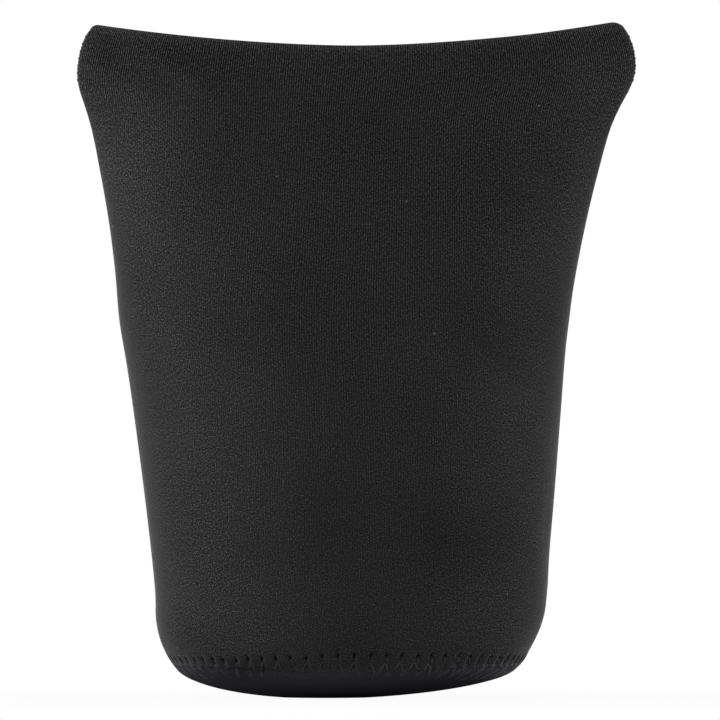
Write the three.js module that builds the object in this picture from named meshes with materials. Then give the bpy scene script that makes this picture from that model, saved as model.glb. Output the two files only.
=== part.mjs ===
// A soft lens pouch of knit-faced foam, standing on its base, with its flat mouth up.
// One sheet is rolled into a tube and closed by a seam at the back. A round base is sewn on below,
// and two sewn corners keep the mouth flat. The sheet has three bonded layers: face, foam and lining.
// The lips are the parts of the sheet that bow apart to open the mouth.
// Millimetres. X runs along the mouth, the front is towards -Y, and Z is up from the table.
import * as THREE from "three";

// Driving sizes of the outside
const HEIGHT = 148; // ear tips above the table
const MOUTH_DIP = 5; // the middle of the lips lies this far below the ear tips
const MOUTH_WIDTH = 122.4; // across both ears
const MOUTH_DEPTH = 11.1; // over both lips, level with the ear tips
const EAR_HEIGHT = 12.3; // the sewn outer edge of an ear
const EAR_LEAN = 3.2; // an ear's tip lies this far inside its widest point
const BODY_DIAMETER = 85.2; // the round lower body
const SHOULDER_HEIGHT = 21; // the body is full and round from here up
const SEAM_DIAMETER = 75.6; // where the base meets the wall
const SEAM_HEIGHT = 6.85; // the middle of the base seam
const FOOT_DIAMETER = 20; // the base is flat where it stands

// The bonded sheet
const FACE = 0.5;
const FOAM = 2;
const LINING = 0.4;
const BOND = 0.15; // glue line between two layers
const EAR_CROWDING = 2.6; // the sheet is doubled up in the ears, so its layers lie this much further in

// The lips
const HINGE_HEIGHT = 68; // where the sheet starts to flex
const LIP_WIDTH = 91.8; // at the mouth, and narrowing with the pouch below it
const SLIT = 0.35; // free gap between neighbouring edges

// Sewing
const THREAD = 0.44; // diameter
const THREAD_CLEARANCE = 0.15; // thread to the surface that it lies on
const STITCH_PITCH = 3.43;
const NEEDLE_BITE = 2.2; // needle holes above the base seam
const LOOPER_REACH = 2.7; // looper threads below the base seam
const BACK_SEAM_WIDTH = 3.6;
const BACK_SEAM_INSET = 1.2; // bare ends of the back seam
const TACK_INSET = 1.5; // an ear's first stitch below its tip
const TACK_PITCH = 1.72;

// Where in a stitch a thread bends, counted from 0 at its start to 1 at the next stitch
const NEEDLE_BENDS = { hole: 0.25, seam: 0.45 };
const LOOPER_BENDS = { seam: 0.2, down: 0.4, low: 0.6, up: 0.8 };
const TACK_BENDS = [-2, -1, 0, 1, 2]; // columns of facets from the outer edge of an ear

// How the outline runs above the shoulder. It flares by a straight share and a share that comes late.
const FLARE = { straight: 0.63, late: 0.37, power: 5.5 };
const SHOULDER_POWER = 2.2;
const CLOSING = { straight: 0.45, start: 0.3 }; // the lips close by a straight share and an eased one
const DIP_POWER = 1.5; // 2 makes the dip of the mouth a parabola, and 1 a V
const DOME = { power: 1.7, root: 0.55 }; // 2 and 0.5 make the base's dome an ellipse

// Facets
const LIP_COLUMNS = 8;
const SIDE_COLUMNS = 8;
const LOWER_ROWS = [0, 0.04, 0.1, 0.23, 0.6, 1];
const LIP_ROWS = [0, 0.32, 0.58, 0.78, 0.91, 1];
const EAR_ROWS = [0.5, 1];
const BASE_SEGMENTS = 32;
const DOME_STEPS = 4;
const THREAD_SIDES = 3;

const SMALL_TURN = 0.001; // a step along the dome that gives its direction

const QUARTER = Math.PI / 2;
const FRONT = 3 * QUARTER;
const BACK = QUARTER;
const bodyRadius = BODY_DIAMETER / 2;
const seamRadius = SEAM_DIAMETER / 2;
const wallFoot = SEAM_HEIGHT + SLIT / 2;
const baseRim = SEAM_HEIGHT - SLIT / 2;
const earFoot = HEIGHT - EAR_HEIGHT;
const slitAngle = SLIT / BODY_DIAMETER;
const lipAngle = Math.asin(LIP_WIDTH / MOUTH_WIDTH);

// Where each layer starts and ends, measured inwards from the outside of the sheet
const layers = {
  face: { from: 0, to: FACE, color: 0x262526, roughness: 0.9 },
  foam: { from: FACE + BOND, to: FACE + BOND + FOAM, color: 0x151515, roughness: 0.85 },
  lining: {
    from: FACE + FOAM + 2 * BOND,
    to: FACE + FOAM + 2 * BOND + LINING,
    color: 0x222224,
    roughness: 0.9,
  },
};
const threadLook = new THREE.MeshStandardMaterial({ color: 0x1a1a1c, roughness: 0.6, metalness: 0 });
const lookOf = (layer) =>
  new THREE.MeshStandardMaterial({ color: layer.color, roughness: layer.roughness, metalness: 0 });

const mix = (a, b, share) => a + (b - a) * share;
const clamp01 = (value) => Math.min(Math.max(value, 0), 1);
const smooth = (share) => share * share * (3 - 2 * share);
const easeIn = (share) => share ** 3 * (4 - 3 * share); // like smooth, with a slower start
const spread = (from, to, cells) => Array.from({ length: cells + 1 }, (_, i) => mix(from, to, i / cells));
const swell = ({ straight, late, power }, share) => straight * share + late * share ** power;

// The shoulder is the rounded lower end of the wall, from the base seam up to the full round body.
function shoulderRadius(z) {
  const share = clamp01((z - wallFoot) / (SHOULDER_HEIGHT - wallFoot));
  return mix(seamRadius, bodyRadius, 1 - (1 - share) ** SHOULDER_POWER);
}

const upShare = (z) => clamp01((z - SHOULDER_HEIGHT) / (earFoot - SHOULDER_HEIGHT));

function halfWidth(z) {
  if (z < SHOULDER_HEIGHT) return shoulderRadius(z);
  const lean = EAR_LEAN * clamp01((z - earFoot) / EAR_HEIGHT) ** 2;
  return mix(bodyRadius, MOUTH_WIDTH / 2, swell(FLARE, upShare(z))) - lean;
}

function halfDepth(z) {
  if (z < SHOULDER_HEIGHT) return shoulderRadius(z);
  const share = (z - SHOULDER_HEIGHT) / (HEIGHT - SHOULDER_HEIGHT);
  const late = clamp01((share - CLOSING.start) / (1 - CLOSING.start));
  const closed = mix(easeIn(late), share, CLOSING.straight);
  return mix(bodyRadius, MOUTH_DEPTH / 2, closed);
}

// A point of the wall: an angle round the pouch, a height, and a depth inwards from the outside.
function wallPoint(angle, z, depth) {
  const inwards = depth * mix(1, EAR_CROWDING, smooth(upShare(z)));
  return new THREE.Vector3(
    (halfWidth(z) - inwards) * Math.cos(angle),
    (halfDepth(z) - depth) * Math.sin(angle),
    z,
  );
}

// The direction out of the wall, level with the table.
function wallOut(angle, z) {
  return new THREE.Vector3(Math.cos(angle) / halfWidth(z), Math.sin(angle) / halfDepth(z), 0).normalize();
}

// The mouth's edge is lowest in the middle of each lip.
const mouthHeight = (angle) => HEIGHT - MOUTH_DIP * (1 - Math.abs(Math.cos(angle)) ** DIP_POWER);

// Heights of the rows of facets: below the hinge line, and above it up to the mouth.
const lowerRows = LOWER_ROWS.map((share) => mix(wallFoot, HINGE_HEIGHT - SLIT / 2, share));
function upperRows(angle) {
  const lip = LIP_ROWS.map((share) => mix(HINGE_HEIGHT + SLIT / 2, earFoot, share));
  const ear = EAR_ROWS.map((share) => mix(earFoot, mouthHeight(angle), share));
  return [...lip, ...ear];
}
const bodyRows = (angle) => [...lowerRows, ...upperRows(angle).slice(1)];

function geometryOf(triangles) {
  const positions = triangles.flatMap((corner) => corner.toArray());
  const geometry = new THREE.BufferGeometry();
  geometry.setAttribute("position", new THREE.Float32BufferAttribute(positions, 3));
  geometry.computeVertexNormals();
  return geometry;
}

// A layer of the wall as a closed solid: cells between two depths, with an end wall on each free edge.
function wallLayer(angles, rowsAt, hasCell, { from, to }) {
  const corners = [];
  const at = (i, j, depth) => wallPoint(angles[i], rowsAt(angles[i])[j], depth);
  const quad = (a, b, c, d) => corners.push(a, b, c, a, c, d);
  const rows = rowsAt(angles[0]).length - 1;
  const filled = (i, j) => i >= 0 && j >= 0 && i < angles.length - 1 && j < rows && hasCell(i, j);
  for (let i = 0; i < angles.length - 1; i++) {
    for (let j = 0; j < rows; j++) {
      if (!filled(i, j)) continue;
      const outside = [at(i, j, from), at(i + 1, j, from), at(i + 1, j + 1, from), at(i, j + 1, from)];
      const inside = [at(i, j, to), at(i + 1, j, to), at(i + 1, j + 1, to), at(i, j + 1, to)];
      quad(...outside);
      quad(inside[0], inside[3], inside[2], inside[1]);
      if (!filled(i, j - 1)) quad(inside[0], inside[1], outside[1], outside[0]);
      if (!filled(i + 1, j)) quad(inside[1], inside[2], outside[2], outside[1]);
      if (!filled(i, j + 1)) quad(inside[2], inside[3], outside[3], outside[2]);
      if (!filled(i - 1, j)) quad(inside[3], inside[0], outside[0], outside[3]);
    }
  }
  return geometryOf(corners);
}

// The base bulges below its seam as far as its flat foot lets it, and every layer follows that dome.
const footShare = (1 - (FOOT_DIAMETER / SEAM_DIAMETER) ** (1 / DOME.root)) ** (1 / DOME.power);
const baseBulge = baseRim / footShare;
function basePoint(turn, depth) {
  const down = Math.sin(turn);
  const radius = (seamRadius - depth) * (1 - down ** DOME.power) ** DOME.root;
  return new THREE.Vector2(radius, baseRim - (baseBulge - depth) * down);
}

// The turn of the dome at which a surface of a layer meets its flat foot.
const footTurn = (depth) => Math.asin((baseRim - depth) / (baseBulge - depth));

function domeLine(depth) {
  const dome = spread(footTurn(depth), 0, DOME_STEPS).map((turn) => basePoint(turn, depth));
  return [new THREE.Vector2(0, depth), ...dome];
}

function baseLayer({ from, to }) {
  const profile = [...domeLine(from), ...domeLine(to).reverse()];
  return new THREE.LatheGeometry(profile, BASE_SEGMENTS).rotateX(QUARTER);
}

// A thread through a list of points, each with the direction away from the cloth there.
function threadThrough(stops) {
  const radius = THREAD / 2;
  const rings = stops.map(({ point, out }, i) => {
    const before = stops[Math.max(i - 1, 0)].point;
    const after = stops[Math.min(i + 1, stops.length - 1)].point;
    const along = after.clone().sub(before).normalize();
    const side = out.clone().cross(along).normalize();
    const up = along.clone().cross(side).normalize();
    return spread(0, 4 * QUARTER, THREAD_SIDES)
      .slice(0, -1)
      .map((turn) =>
        point
          .clone()
          .addScaledVector(side, radius * Math.cos(turn))
          .addScaledVector(up, radius * Math.sin(turn)),
      );
  });
  const corners = [];
  const quad = (a, b, c, d) => corners.push(a, b, c, a, c, d);
  rings.slice(1).forEach((ring, i) => {
    ring.forEach((corner, k) => {
      const next = (k + 1) % THREAD_SIDES;
      quad(rings[i][k], rings[i][next], ring[next], corner);
    });
  });
  const [first, last] = [rings[0], rings[rings.length - 1]];
  for (let k = 2; k < THREAD_SIDES; k++) {
    corners.push(first[0], first[k], first[k - 1]);
    corners.push(last[0], last[k - 1], last[k]);
  }
  return geometryOf(corners);
}

const threadLift = THREAD / 2 + THREAD_CLEARANCE;

function stitchOnWall(angle, z) {
  const out = wallOut(angle, z);
  return { point: wallPoint(angle, z, 0).addScaledVector(out, threadLift), out };
}

// A stitch on the dome of the base, lifted along the dome's own direction.
function stitchOnBase(angle, z) {
  const turn = Math.asin((baseRim - z) / baseBulge);
  const on = basePoint(turn, 0);
  const along = basePoint(turn + SMALL_TURN, 0).sub(on);
  const lift = new THREE.Vector2(-along.y, along.x).normalize();
  const out = new THREE.Vector3(lift.x * Math.cos(angle), lift.x * Math.sin(angle), lift.y);
  const point = new THREE.Vector3(on.x * Math.cos(angle), on.x * Math.sin(angle), on.y);
  return { point: point.addScaledVector(out, threadLift), out };
}

// Both base threads start and end at the back, and leave a gap there between their two ends.
const baseStitches = Math.round((Math.PI * SEAM_DIAMETER) / STITCH_PITCH);
const stitchTurn = (4 * QUARTER) / baseStitches;
const stitchAngle = (count) => BACK + stitchTurn * count;

// The needle thread drops in a short bar below each needle hole.
function needleThread() {
  const high = wallFoot + NEEDLE_BITE;
  const low = wallFoot + threadLift;
  const stops = [];
  for (let k = 0; k < baseStitches; k++) {
    stops.push(stitchOnWall(stitchAngle(k + NEEDLE_BENDS.hole), high));
    stops.push(stitchOnWall(stitchAngle(k + NEEDLE_BENDS.seam), low));
  }
  return threadThrough(stops);
}

// The looper thread runs to and fro over the rim of the base, bending with the dome half way.
function looperThread() {
  const high = baseRim - threadLift;
  const low = baseRim - LOOPER_REACH;
  const middle = (high + low) / 2;
  const stops = [];
  for (let k = 0; k < baseStitches; k++) {
    stops.push(stitchOnBase(stitchAngle(k + LOOPER_BENDS.seam), high));
    stops.push(stitchOnBase(stitchAngle(k + LOOPER_BENDS.down), middle));
    stops.push(stitchOnBase(stitchAngle(k + LOOPER_BENDS.low), low));
    stops.push(stitchOnBase(stitchAngle(k + LOOPER_BENDS.up), middle));
  }
  return threadThrough(stops);
}

// The back seam crosses from one edge of the sheet to the other.
function backSeam(bottom, top) {
  const count = Math.round((2 * (top - bottom)) / STITCH_PITCH);
  const stops = spread(bottom, top, count).map((z, k) => {
    const side = k % 2 ? 1 : -1;
    const angle = BACK + (side * BACK_SEAM_WIDTH) / 2 / halfWidth(z);
    return stitchOnWall(angle, z);
  });
  return threadThrough(stops);
}

// A corner tack runs down an ear, to and fro over its outer edge.
const sideColumn = (2 * (QUARTER - lipAngle - slitAngle)) / SIDE_COLUMNS;
function cornerTack(middle) {
  const top = HEIGHT - TACK_INSET;
  const passes = Math.floor((top - earFoot) / (TACK_PITCH / 2));
  const stops = [];
  for (let pass = 0; pass < passes; pass++) {
    const side = pass % 2 ? -1 : 1;
    TACK_BENDS.forEach((step, k) => {
      const z = top - (TACK_PITCH / 2) * (pass + k / TACK_BENDS.length);
      stops.push(stitchOnWall(middle + side * step * sideColumn, z));
    });
  }
  return threadThrough(stops);
}

const pouch = new THREE.Group();
function add(name, geometry, look) {
  const mesh = new THREE.Mesh(geometry, look);
  mesh.name = name;
  pouch.add(mesh);
}

// The body: the whole wall below the hinge line, and the two sides with their ears above it.
const backLip = LIP_COLUMNS / 2;
const bodyAngles = [
  ...spread(BACK + slitAngle, BACK + lipAngle + slitAngle, backLip),
  ...spread(BACK + lipAngle + slitAngle, FRONT - lipAngle - slitAngle, SIDE_COLUMNS).slice(1),
  ...spread(FRONT - lipAngle - slitAngle, FRONT + lipAngle + slitAngle, LIP_COLUMNS).slice(1),
  ...spread(FRONT + lipAngle + slitAngle, BACK + 4 * QUARTER - lipAngle - slitAngle, SIDE_COLUMNS).slice(1),
  ...spread(BACK + 4 * QUARTER - lipAngle - slitAngle, BACK + 4 * QUARTER - slitAngle, backLip).slice(1),
];
const isSide = (i) => {
  const fromFront = Math.abs((bodyAngles[i] + bodyAngles[i + 1]) / 2 - FRONT);
  return fromFront > lipAngle && fromFront < 2 * QUARTER - lipAngle;
};
const inBody = (i, j) => j < lowerRows.length - 1 || isSide(i);
const everywhere = () => true;
const lips = {
  front_lip: spread(FRONT - lipAngle + slitAngle, FRONT + lipAngle - slitAngle, LIP_COLUMNS),
  back_lip_left: spread(BACK + slitAngle, BACK + lipAngle - slitAngle, backLip),
  back_lip_right: spread(BACK - lipAngle + slitAngle, BACK - slitAngle, backLip),
};

for (const [layerName, layer] of Object.entries(layers)) {
  add(`body_${layerName}`, wallLayer(bodyAngles, bodyRows, inBody, layer), lookOf(layer));
  for (const [lipName, angles] of Object.entries(lips)) {
    add(`${lipName}_${layerName}`, wallLayer(angles, upperRows, everywhere, layer), lookOf(layer));
  }
  add(`base_${layerName}`, baseLayer(layer), lookOf(layer));
}

const backSeamFoot = wallFoot + NEEDLE_BITE + BACK_SEAM_INSET;
const backMouth = mouthHeight(BACK) - BACK_SEAM_INSET;
add("base_needle_thread", needleThread(), threadLook);
add("base_looper_thread", looperThread(), threadLook);
add("back_seam_thread", backSeam(backSeamFoot, HINGE_HEIGHT - BACK_SEAM_INSET), threadLook);
add("back_lip_seam_thread", backSeam(HINGE_HEIGHT + BACK_SEAM_INSET, backMouth), threadLook);
add("left_corner_tack", cornerTack(2 * QUARTER), threadLook);
add("right_corner_tack", cornerTack(0), threadLook);

export default pouch;
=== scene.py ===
# %% [markdown]
# # A soft lens pouch
# The pouch is sewn from a springy sheet: foam rubber with knit bonded to both sides. One piece is rolled
# into a tube and closed by a seam at the back, a round base is sewn on below, and two sewn corners hold
# the mouth flat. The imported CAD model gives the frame: it says where everything is and what moves.
# Here each of its plain solids is replaced by a soft, detailed piece in the same place.

# %% Load the fixed frame
import math

import bmesh
import bpy
import numpy as np
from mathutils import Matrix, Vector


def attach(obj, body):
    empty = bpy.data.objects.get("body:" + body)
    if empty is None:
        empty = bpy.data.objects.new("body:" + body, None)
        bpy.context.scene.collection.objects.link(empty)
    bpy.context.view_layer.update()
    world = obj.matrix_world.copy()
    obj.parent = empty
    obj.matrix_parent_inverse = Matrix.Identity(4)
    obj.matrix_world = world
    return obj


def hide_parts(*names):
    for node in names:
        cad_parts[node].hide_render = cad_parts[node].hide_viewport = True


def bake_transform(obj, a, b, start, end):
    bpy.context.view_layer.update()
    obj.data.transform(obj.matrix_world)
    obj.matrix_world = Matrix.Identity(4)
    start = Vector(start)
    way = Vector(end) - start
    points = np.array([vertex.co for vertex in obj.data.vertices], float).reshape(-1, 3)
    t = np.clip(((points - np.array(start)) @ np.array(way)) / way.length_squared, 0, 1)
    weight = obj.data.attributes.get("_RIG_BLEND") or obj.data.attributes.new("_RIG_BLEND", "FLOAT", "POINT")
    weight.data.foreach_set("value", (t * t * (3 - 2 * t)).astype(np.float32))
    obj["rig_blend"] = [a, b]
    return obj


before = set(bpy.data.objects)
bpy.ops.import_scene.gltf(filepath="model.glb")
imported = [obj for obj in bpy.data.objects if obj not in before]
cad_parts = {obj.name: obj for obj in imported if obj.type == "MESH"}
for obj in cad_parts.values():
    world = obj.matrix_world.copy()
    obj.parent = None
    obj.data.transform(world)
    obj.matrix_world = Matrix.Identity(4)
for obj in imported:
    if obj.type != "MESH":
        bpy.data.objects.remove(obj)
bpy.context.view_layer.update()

# %% [markdown]
# ## Soft curves
# Cloth has no corners, so nearly every form here is put together from two soft curves: a step that starts
# and ends gently, and a hump that fades out on both sides. A third helper evens a curve out over a few
# millimetres, as a stretched sheet does by itself.

# %% Steps and humps
MM = 0.001
EVEN_STEPS = (-1, -0.5, 0, 0.5, 1)


def part_of(value, start, end):
    return np.clip((value - start) / (end - start), 0, 1)


def smooth(share):
    share = np.clip(share, 0, 1)
    return share * share * (3 - 2 * share)


def hump(away, reach):
    return np.exp(-((away / reach) ** 2))


def evened(curve, z, reach):
    return sum(curve(z + reach * step) for step in EVEN_STEPS) / len(EVEN_STEPS)


print("a hump falls to", round(float(hump(2, 1)), 3), "at twice its reach")

# %% [markdown]
# ## The outline
# Seen from the front, the pouch is narrow at the base seam, full at the shoulder, and flares to the ears,
# which lean in again at the top. The left ear is rounder than the right one. The curves would meet in a
# corner at the foot of an ear, so the flare is evened out there. The sides also bulge slightly.

# %% The width by height
HEIGHT = 148.0
BODY_RADIUS, SHOULDER, SHOULDER_POWER = 42.6, 21.0, 2.2
SEAM_RADIUS, SEAM_HEIGHT = 37.8, 6.85
MOUTH_HALF, EAR_FOOT = 61.6, 135.7
FLARE_STEADY, FLARE_POWER = 0.63, 5.5
EAR_LEAN, LEFT_LEAN_POWER, RIGHT_LEAN_POWER = 3.2, 3.5, 2.6
NECK, NECK_REACH, NECK_PINCH = 126.0, 7.0, 0.45
EASE, EASE_FROM, EASE_FULL = 2.6, 100.0, 125.0
# Slight bulges of the sides: height, reach, how far out
BULGES = [(21, 7, 0.28), (83, 6, 0.2)]


def up_share(z):
    return part_of(z, SHOULDER, EAR_FOOT)


def ear_share(z):
    return part_of(z, EAR_FOOT, HEIGHT)


def shoulder_radius(z):
    rest = 1 - part_of(z, SEAM_HEIGHT, SHOULDER)
    return SEAM_RADIUS + (BODY_RADIUS - SEAM_RADIUS) * (1 - rest**SHOULDER_POWER)


def flare(z):
    share = up_share(z)
    widening = FLARE_STEADY * share + (1 - FLARE_STEADY) * share**FLARE_POWER
    lean = EAR_LEAN * ear_share(z) ** RIGHT_LEAN_POWER
    flared = BODY_RADIUS + (MOUTH_HALF - BODY_RADIUS) * widening - lean
    return np.where(z < SHOULDER, shoulder_radius(z), flared)


def rounder_left(z):
    share = ear_share(z)
    return EAR_LEAN * (share**RIGHT_LEAN_POWER - share**LEFT_LEAN_POWER) / 2


def half_width(z):
    ease = EASE * smooth(part_of(z, EASE_FROM, EASE_FULL))
    pinch = NECK_PINCH * hump(z - NECK, NECK_REACH)
    bulge = sum(out * hump(z - at, reach) for at, reach, out in BULGES)
    return evened(flare, z, ease) - pinch + bulge + rounder_left(z)


print("girth at the shoulder", round(2 * math.pi * BODY_RADIUS), "mm")

# %% [markdown]
# Seen from the side the pouch does the opposite. It is as deep as it is wide at the shoulder, because a
# lens is round, and it closes to a flat mouth, slowly at first. A sewn pouch is never quite straight
# either, so its middle sways by a millimetre or so. What makes the left ear rounder is half a change of
# width and half a shift, and the shift is taken off here.

# %% The depth by height, and the sway
LIP_HALF = 5.55
CLOSING_STEADY, CLOSING_FROM = 0.45, 0.3
SWAY_EASE = 5.0
SWAY_AT = [0, 12, 20, 28, 45, 66, 83, 97, 118, 130, 138, 148]
SWAY = [-0.7, -0.85, 0.45, 0.15, -0.1, -0.7, -1.4, -0.8, -0.1, 0.4, 1.6, 1.9]


def half_depth(z):
    share = part_of(z, SHOULDER, HEIGHT)
    late = part_of(share, CLOSING_FROM, 1)
    eased = late**3 * (4 - 3 * late)
    closing = CLOSING_STEADY * share + (1 - CLOSING_STEADY) * eased
    closed = BODY_RADIUS + (LIP_HALF - BODY_RADIUS) * closing
    return np.where(z < SHOULDER, shoulder_radius(z), closed)


def drawn_sway(z):
    return np.interp(z, SWAY_AT, SWAY)


def sway(z):
    return evened(drawn_sway, z, SWAY_EASE) - rounder_left(z)


print("depth of the closed lips", round(2 * float(half_depth(HEIGHT)), 1), "mm")

# %% [markdown]
# ## Rolling up a flat sheet
# Knit keeps its lines: a column of loops, called a wale, runs from the base to the mouth and keeps its
# share of the girth. So a place on the sheet is given by that share, from -1 at the left ear to 1 at the
# right ear, and by its height. Each level section is an ellipse, on which the share isn't the angle, so a
# table turns one into the other for every flatness of the ellipse.

# %% From a share of the girth to an angle
FLATTEST = 0.05
FLATNESS = np.linspace(FLATTEST, 1, 48)
SHARES = np.linspace(0, 1, 129)
TABLE_END = 1.001
turns = np.linspace(0, math.pi / 2, 721)
angle_table = []
for flatness in FLATNESS:
    speed = np.hypot(np.cos(turns), flatness * np.sin(turns))
    walked = np.concatenate([[0], np.cumsum((speed[1:] + speed[:-1]) / 2)])
    angle_table.append(np.interp(SHARES, walked / walked[-1], turns))
angle_table = np.array(angle_table)


def in_table(share, count):
    return np.clip(share * (count - 1), 0, count - TABLE_END)


def girth_angle(share, flatness):
    row = in_table(part_of(flatness, FLATTEST, 1), len(FLATNESS))
    column = in_table(np.abs(share), len(SHARES))
    i, j = row.astype(int), column.astype(int)
    p, q = row - i, column - j
    low = angle_table[i, j] * (1 - q) + angle_table[i, j + 1] * q
    high = angle_table[i + 1, j] * (1 - q) + angle_table[i + 1, j + 1] * q
    return np.sign(share) * (low * (1 - p) + high * p)


print("angles in the table", angle_table.shape)

# %% [markdown]
# A layer below the surface lies further in. At the ears the sheet is folded sharply, so its layers crowd
# there and take more than their own thickness of the width. A lift stands square on the ellipse.

# %% From a share of the girth to a place
FRONT, BACK = -1, 1
EAR_CROWDING = 2.6


def crowding(z):
    return 1 + (EAR_CROWDING - 1) * smooth(up_share(z))


def on_wall(side, share, z, depth=0.0, lift=0.0):
    share, z = np.asarray(share, float), np.asarray(z, float)
    wide, deep = half_width(z), half_depth(z)
    angle = girth_angle(share, deep / wide)
    inwards = depth * crowding(z)
    out_x, out_y = np.sin(angle) / wide, np.cos(angle) / deep
    length = np.hypot(out_x, out_y)
    x = (wide - inwards) * np.sin(angle) + lift * out_x / length + sway(z)
    y = side * ((deep - depth) * np.cos(angle) + lift * out_y / length)
    return np.stack([x, y, z + 0 * x], axis=-1)


print("right ear", np.round(on_wall(FRONT, 1.0, 140.0), 1))

# %% [markdown]
# ## What the needle did to the sheet
# A smooth ellipse looks like plastic. Along the base seam each needle hole is a small pit with a soft
# groove below it, and the knit swells between two of them. No stitch is quite like the next: it wanders,
# pulls more or less, and sits a little higher or lower. That chance is seeded, so that every run sews the
# same pouch.

# %% Where the stitches are
HALF_GIRTH = 134.0
HALF_STITCHES = 36
STITCH_PITCH = HALF_GIRTH / HALF_STITCHES
WANDER, WEAK_PULL, STRONG_PULL, UP_AND_DOWN = 0.13, 0.75, 1.2, 0.12
ROW = {FRONT: 0, BACK: 1}
chance = np.random.default_rng(11)
stitch_wander = chance.normal(0, WANDER, (2, HALF_STITCHES))
stitch_pull = chance.uniform(WEAK_PULL, STRONG_PULL, (2, HALF_STITCHES))
stitch_height = chance.normal(0, UP_AND_DOWN, (2, HALF_STITCHES))


def stitch_of(side, share):
    count = (share + 1) / 2 * HALF_STITCHES
    index = np.clip(count.astype(int), 0, HALF_STITCHES - 1)
    away = (count - index - 0.5) * STITCH_PITCH - stitch_wander[ROW[side], index]
    return away, stitch_pull[ROW[side], index], stitch_height[ROW[side], index]


print("stitches round the base", 2 * HALF_STITCHES, "of", round(STITCH_PITCH, 2), "mm")

# %% [markdown]
# The seam isn't level. Towards the sides the needle holes sit lower and the wall's edge sits higher, so
# that the stitches are shorter there. They are also pulled tighter, which makes the grooves deeper, more
# so on the right.

# %% The base seam
WALL_FOOT, FOOT_RISE = 6.2, 0.95
SIDE_FROM, SIDE_FULL = 0.2, 0.65
HOLE_HEIGHT, HOLE_WIDE, HOLE_TALL, HOLE_DEPTH = 9.7, 0.34, 0.52, 0.55
HOLE_AT = [-1, -0.75, -0.2, -0.06, 0.4, 0.58, 1]
HOLE_DROP = [1.3, 1.05, 0.75, 0, 0, 0.8, 0.8]
GROOVE_WIDE, GROOVE_TOP, GROOVE_END = 0.7, 1.0, 1.2
PILLOW_GAP, PILLOW_HEIGHT, PILLOW_TALL = 0.9, 8.3, 1.5
PUFF, LEFT_PUFF, RIGHT_PUFF = 0.04, 0.07, 0.2
EDGE_DIP, EDGE_REACH = 0.04, 0.5


def at_side(share):
    return smooth(part_of(np.abs(share), SIDE_FROM, SIDE_FULL))


def wall_foot(share):
    return WALL_FOOT + FOOT_RISE * at_side(share)


def hole_height(share):
    return HOLE_HEIGHT - np.interp(share, HOLE_AT, HOLE_DROP)


def needle_hole(side, share, z):
    away, pull, higher = stitch_of(side, share)
    return pull * hump(away, HOLE_WIDE) * hump(z - hole_height(share) - higher, HOLE_TALL)


def groove(side, share, z):
    away, pull = stitch_of(side, share)[:2]
    below_hole = smooth((hole_height(share) - z) / GROOVE_TOP)
    above_foot = smooth((z - wall_foot(share)) / GROOVE_END)
    return pull * hump(away, GROOVE_WIDE) * below_hole * above_foot


def base_sewing(side, share, z):
    away, pull = stitch_of(side, share)[:2]
    pillow = pull * (1 - hump(away, PILLOW_GAP)) * hump(z - PILLOW_HEIGHT, PILLOW_TALL)
    puffed = PUFF + np.where(share < 0, LEFT_PUFF, RIGHT_PUFF) * at_side(share)
    swell = puffed * (pillow - groove(side, share, z))
    edge = EDGE_DIP * hump(z - wall_foot(share), EDGE_REACH)
    return swell - HOLE_DEPTH * needle_hole(side, share, z) - edge


print("needle holes from", round(float(hole_height(-1)), 1), "to", round(float(hole_height(0)), 1), "mm up")

# %% [markdown]
# The ears are pinched by their stitches, which gives them a scalloped edge. At the back the two edges of
# the sheet meet in a groove and stand up slightly on both sides of it.

# %% The ears and the back seam
EAR_STITCHES, EAR_PITCH, EAR_FIRST = 7, 1.6, 145.4
EAR_EDGE, EAR_EDGE_FULL = 0.965, 0.995
EAR_SEWN_FROM, EAR_SEWN_FULL = 134.5, 136.0
EAR_SWELL, EAR_PINCH, EAR_PINCH_REACH = 0.06, 0.2, 0.45
SEAM_GROOVE, SEAM_GROOVE_REACH = 0.5, 0.5
RIDGE, RIDGE_AWAY, RIDGE_REACH = 0.15, 1.6, 0.9


def ear_sewing(share, z):
    step = np.mod((EAR_FIRST - z) / EAR_PITCH + 0.5, 1) - 0.5
    at_edge = smooth(part_of(np.abs(share), EAR_EDGE, EAR_EDGE_FULL))
    in_ear = at_edge * smooth(part_of(z, EAR_SEWN_FROM, EAR_SEWN_FULL))
    return in_ear * (EAR_SWELL - EAR_PINCH * hump(step * EAR_PITCH, EAR_PINCH_REACH))


def back_sewing(share):
    middle = share * HALF_GIRTH / 2
    ridges = RIDGE * hump(np.abs(middle) - RIDGE_AWAY, RIDGE_REACH)
    return ridges - SEAM_GROOVE * hump(middle, SEAM_GROOVE_REACH)


def sewing(side, share, z):
    push = base_sewing(side, share, z) + ear_sewing(share, z)
    if side == BACK:
        push = push + back_sewing(share)
    return push


print("stitches on each ear", EAR_STITCHES)

# %% [markdown]
# ## What the hands did to the sheet
# Handling leaves a slow ripple, a few soft dents and some folds near the ears. The back gets the same
# ones, mirrored and moved aside. They end before the seam and the ears, which are held by their
# stitches. All layers are pushed alike, so they stay on one another.

# %% Dents and folds
RIPPLE, RIPPLE_SLANT_X, RIPPLE_SLANT_Z, RIPPLE_UP = 0.22, 0.085, 0.05, 0.06
RIPPLE_START, RIPPLE_UP_START = 0.7, 1.1
FOLD_ENDS = 4
# Soft dents of the front: across, up, reach across, reach up, push out
HANDLING = [
    (37, 39, 10, 7, -0.9),
    (31, 18, 9, 7, 0.6),
    (12, 40, 16, 14, -0.7),
    (-34, 30, 13, 16, 0.5),
    (-30, 62, 14, 11, -0.5),
    (22, 92, 16, 13, -0.5),
    (-14, 104, 17, 13, 0.5),
]
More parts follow.
